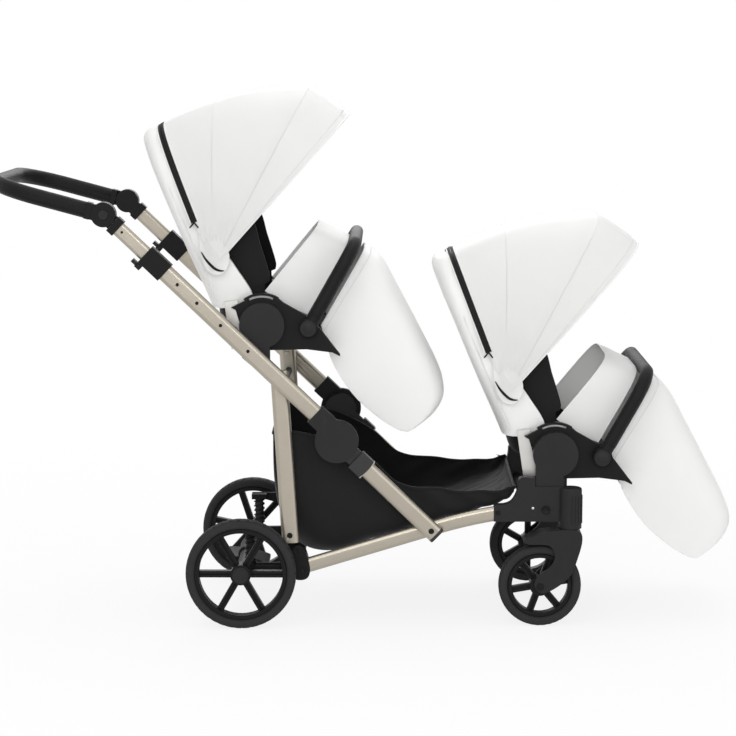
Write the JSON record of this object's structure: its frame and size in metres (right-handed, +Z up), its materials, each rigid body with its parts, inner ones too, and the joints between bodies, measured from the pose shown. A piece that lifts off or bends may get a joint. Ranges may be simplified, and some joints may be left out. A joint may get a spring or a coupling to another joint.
{
  "type": "twin pram",
  "caption": "Tandem twin pram: folding oval-tube chassis with swivel front wheels, telescopic push bar, basket, and inline seat units with fan canopies, bumper bars and foot covers.",
  "frame": {"origin": "on the ground, under the middle of the pram's length and width", "axes": "+X forwards, +Y to the left, +Z up"},
  "size_m": [1.8902, 0.614, 1.3626],
  "materials": {
    "champagne_tube": "satin anodised champagne",
    "black_plastic": "matt black",
    "dark_plastic": "matt dark grey",
    "black_steel": "black powder coat",
    "black_alloy": "black powder coat",
    "black_cloth": "black woven",
    "leatherette": "black grained leatherette",
    "tyre": "black foam rubber",
    "rim_plastic": "black",
    "silver_tube": "satin silver",
    "white_cloth": "white coated cloth"
  },
  "bodies": {
    "chassis": {"lower_rails": "champagne_tube", "cross_tubes": "black_alloy", "front_brackets": "dark_plastic", "rear_brackets": "black_plastic", "frame_pins": "black_steel", "basket": "black_cloth", "springs": "black_steel"},
    "rear_axle": {"axle_frame": "black_alloy"},
    "brake": {"brake_pedal": "dark_plastic"},
    "rear_legs": {"rear_legs": "champagne_tube", "leg_brace": "black_alloy"},
    "upper_frame": {"main_tubes": "champagne_tube", "hub_covers": "dark_plastic", "seat_adapters": "dark_plastic", "height_clamps": "black_plastic"},
    "struts": {"struts": "champagne_tube"},
    "handle_slide": {"handle_tubes": "champagne_tube", "handle_joints": "black_plastic"},
    "handle": {"handle_knuckles": "black_plastic", "handle_bar": "leatherette"},
    "rear_wheel_left": {"rear_tyre_left": "tyre", "rear_rim_left": "rim_plastic"},
    "rear_wheel_right": {"rear_tyre_right": "tyre", "rear_rim_right": "rim_plastic"},
    "fork_left": {"fork_left": "dark_plastic"},
    "front_wheel_left": {"front_tyre_left": "tyre", "front_rim_left": "rim_plastic"},
    "fork_right": {"fork_right": "dark_plastic"},
    "front_wheel_right": {"front_tyre_right": "tyre", "front_rim_right": "rim_plastic"},
    "clamp_lever_left": {"clamp_lever_left": "dark_plastic"},
    "clamp_lever_right": {"clamp_lever_right": "dark_plastic"},
    "handle_button_left": {"handle_button_left": "dark_plastic"},
    "handle_button_right": {"handle_button_right": "dark_plastic"},
    "rear_seat": {"rear_seat_hubs": "dark_plastic", "rear_seat_plates": "black_plastic", "rear_seat_pan": "black_cloth", "rear_seat_pad": "black_cloth", "rear_seat_apron": "white_cloth"},
    "rear_seat_back": {"rear_seat_back_frame": "silver_tube", "rear_seat_back": "white_cloth", "rear_seat_liner": "black_cloth", "rear_seat_canopy": "white_cloth"},
    "rear_seat_canopy": {"rear_seat_bow": "black_steel"},
    "rear_seat_bumper": {"rear_seat_bumper": "leatherette"},
    "rear_seat_footrest": {"rear_seat_foot_cover": "white_cloth", "rear_seat_footrest": "black_cloth"},
    "front_seat": {"front_seat_hubs": "dark_plastic", "front_seat_plates": "black_plastic", "front_seat_pan": "black_cloth", "front_seat_pad": "black_cloth", "front_seat_apron": "white_cloth"},
    "front_seat_back": {"front_seat_back_frame": "silver_tube", "front_seat_back": "white_cloth", "front_seat_liner": "black_cloth", "front_seat_canopy": "white_cloth"},
    "front_seat_canopy": {"front_seat_bow": "black_steel"},
    "front_seat_bumper": {"front_seat_bumper": "leatherette"},
    "front_seat_footrest": {"front_seat_foot_cover": "white_cloth", "front_seat_footrest": "black_cloth"}
  },
  "joints": [
    {"name": "leg_fold", "type": "hinge", "parent": "chassis", "child": "rear_legs", "pos_m": [-0.19081, 0, 0.232], "axis": [0, 1, 0], "range_deg": [0, 3.76]},
    {"name": "frame_fold", "type": "hinge", "parent": "rear_legs", "child": "upper_frame", "pos_m": [-0.21581, 0, 0.633], "axis": [0, 1, 0], "range_deg": [0, 14.2]},
    {"name": "strut_fold", "type": "hinge", "parent": "chassis", "child": "struts", "pos_m": [0.16773, 0, 0.24838], "axis": [0, 1, 0], "range_deg": [-7.96, 0]},
    {"name": "suspension", "type": "hinge", "parent": "chassis", "child": "rear_axle", "pos_m": [-0.16781, 0, 0.14], "axis": [0, 1, 0], "range_deg": [0, 7], "stiffness_Nm_per_rad": 160, "springref_deg": -14.32, "deforming": ["springs"]},
    {"name": "brake_pedal", "type": "hinge", "parent": "rear_axle", "child": "brake", "pos_m": [-0.31381, 0, 0.14], "axis": [0, 1, 0], "range_deg": [0, 18]},
    {"name": "rear_wheel_left_spin", "type": "hinge", "parent": "rear_axle", "child": "rear_wheel_left", "pos_m": [-0.31381, 0.285, 0.14], "axis": [0, 1, 0], "continuous": true},
    {"name": "rear_wheel_right_spin", "type": "hinge", "parent": "rear_axle", "child": "rear_wheel_right", "pos_m": [-0.31381, -0.285, 0.14], "axis": [0, 1, 0], "continuous": true},
    {"name": "fork_left_swivel", "type": "hinge", "parent": "chassis", "child": "fork_left", "pos_m": [0.52019, 0.249, 0.256], "axis": [0, 0, 1], "continuous": true},
    {"name": "front_wheel_left_spin", "type": "hinge", "parent": "fork_left", "child": "front_wheel_left", "pos_m": [0.44419, 0.249, 0.105], "axis": [0, 1, 0], "continuous": true},
    {"name": "fork_right_swivel", "type": "hinge", "parent": "chassis", "child": "fork_right", "pos_m": [0.52019, -0.249, 0.256], "axis": [0, 0, 1], "continuous": true},
    {"name": "front_wheel_right_spin", "type": "hinge", "parent": "fork_right", "child": "front_wheel_right", "pos_m": [0.44419, -0.249, 0.105], "axis": [0, 1, 0], "continuous": true},
    {"name": "handle_height", "type": "slide", "parent": "upper_frame", "child": "handle_slide", "axis": [-0.723, 0, 0.6909], "range_m": [-0.08, 0.05]},
    {"name": "handle_angle", "type": "hinge", "parent": "handle_slide", "child": "handle", "pos_m": [-0.64959, 0, 1.04753], "axis": [0, 1, 0], "range_deg": [-50, 40]},
    {"name": "clamp_lever_left", "type": "hinge", "parent": "upper_frame", "child": "clamp_lever_left", "pos_m": [-0.56394, 0.268, 0.92004], "axis": [0, 1, 0], "range_deg": [-25, 0], "stiffness_Nm_per_rad": 0.5, "springref_deg": 5.73},
    {"name": "clamp_lever_right", "type": "hinge", "parent": "upper_frame", "child": "clamp_lever_right", "pos_m": [-0.56394, -0.268, 0.92004], "axis": [0, 1, 0], "range_deg": [-25, 0], "stiffness_Nm_per_rad": 0.5, "springref_deg": 5.73},
    {"name": "handle_button_left", "type": "slide", "parent": "handle", "child": "handle_button_left", "axis": [0, -1, 0], "range_m": [0, 0.002], "stiffness_N_per_m": 800, "springref_m": -0.001},
    {"name": "handle_button_right", "type": "slide", "parent": "handle", "child": "handle_button_right", "axis": [0, 1, 0], "range_m": [0, 0.002], "stiffness_N_per_m": 800, "springref_m": -0.001},
    {"name": "rear_seat_lift", "type": "slide", "parent": "upper_frame", "child": "rear_seat", "axis": [0, 0, 1], "range_m": [0, 0.12]},
    {"name": "rear_seat_recline", "type": "hinge", "parent": "rear_seat", "child": "rear_seat_back", "pos_m": [-0.25916, 0, 0.76711], "axis": [0, 1, 0], "range_deg": [-25, 0]},
    {"name": "rear_seat_canopy_fold", "type": "hinge", "parent": "rear_seat_back", "child": "rear_seat_canopy", "pos_m": [-0.38416, 0, 0.90711], "axis": [0, 1, 0], "range_deg": [-42, 0], "deforming": ["rear_seat_canopy"]},
    {"name": "rear_seat_bumper_pull", "type": "slide", "parent": "rear_seat", "child": "rear_seat_bumper", "axis": [0.4848, 0, 0.8746], "range_m": [0, 0.1]},
    {"name": "rear_seat_footrest_tip", "type": "hinge", "parent": "rear_seat", "child": "rear_seat_footrest", "pos_m": [-0.09116, 0, 0.72711], "axis": [0, 1, 0], "range_deg": [0, 12]},
    {"name": "front_seat_lift", "type": "slide", "parent": "chassis", "child": "front_seat", "axis": [0, 0, 1], "range_m": [0, 0.12]},
    {"name": "front_seat_recline", "type": "hinge", "parent": "front_seat", "child": "front_seat_back", "pos_m": [0.48219, 0, 0.439], "axis": [0, 1, 0], "range_deg": [-6, 0]},
    {"name": "front_seat_canopy_fold", "type": "hinge", "parent": "front_seat_back", "child": "front_seat_canopy", "pos_m": [0.35719, 0, 0.579], "axis": [0, 1, 0], "range_deg": [-42, 0], "deforming": ["front_seat_canopy"]},
    {"name": "front_seat_bumper_pull", "type": "slide", "parent": "front_seat", "child": "front_seat_bumper", "axis": [0.4848, 0, 0.8746], "range_m": [0, 0.1]},
    {"name": "front_seat_footrest_tip", "type": "hinge", "parent": "front_seat", "child": "front_seat_footrest", "pos_m": [0.65019, 0, 0.399], "axis": [0, 1, 0], "range_deg": [0, 12]}
  ],
  "couplings": [
    {"joint": "leg_fold", "follows": "frame_fold", "ratio": 0.26442},
    {"joint": "strut_fold", "follows": "frame_fold", "ratio": -0.56005}
  ]
}
